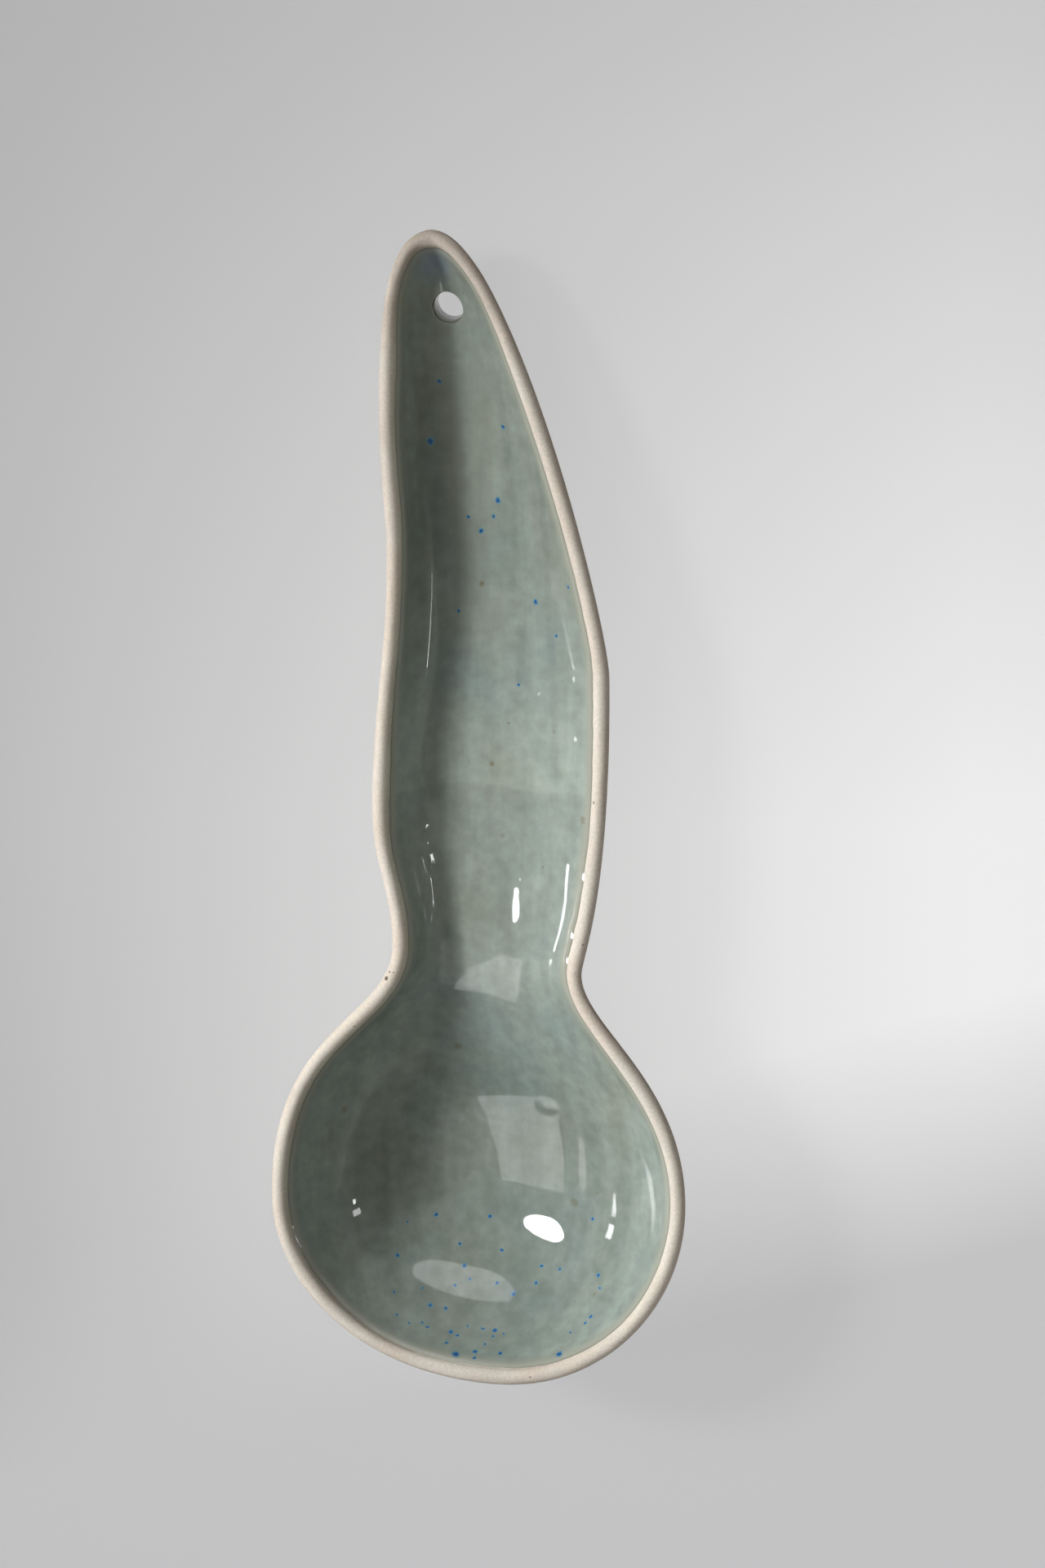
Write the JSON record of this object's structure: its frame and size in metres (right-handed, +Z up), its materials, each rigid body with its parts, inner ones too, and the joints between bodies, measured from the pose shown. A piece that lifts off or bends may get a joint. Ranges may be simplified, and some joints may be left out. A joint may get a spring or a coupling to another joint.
{
  "type": "spoon",
  "caption": "Hand-built stoneware spoon: round deep bowl, trough-shaped handle with a hanging hole, bare clay rim and outside, glossy grey-green glaze inside.",
  "frame": {"origin": "middle of the flat under the bowl, on the table", "axes": "+Z up out of the bowl, +Y along the handle to its tip, +X to the right when the bowl is seen from above with the handle pointing away"},
  "size_m": [0.086, 0.2343, 0.0325],
  "materials": {
    "clay": "bare fired stoneware, matt and slightly sandy",
    "slip": "bare fired slip, matt",
    "glaze": "glossy grey-green celadon with blue specks and iron spots"
  },
  "bodies": {
    "root": {"bowl": "clay", "handle": "clay", "luting_slip": "slip", "glaze_lining": "glaze"}
  },
  "joints": []
}
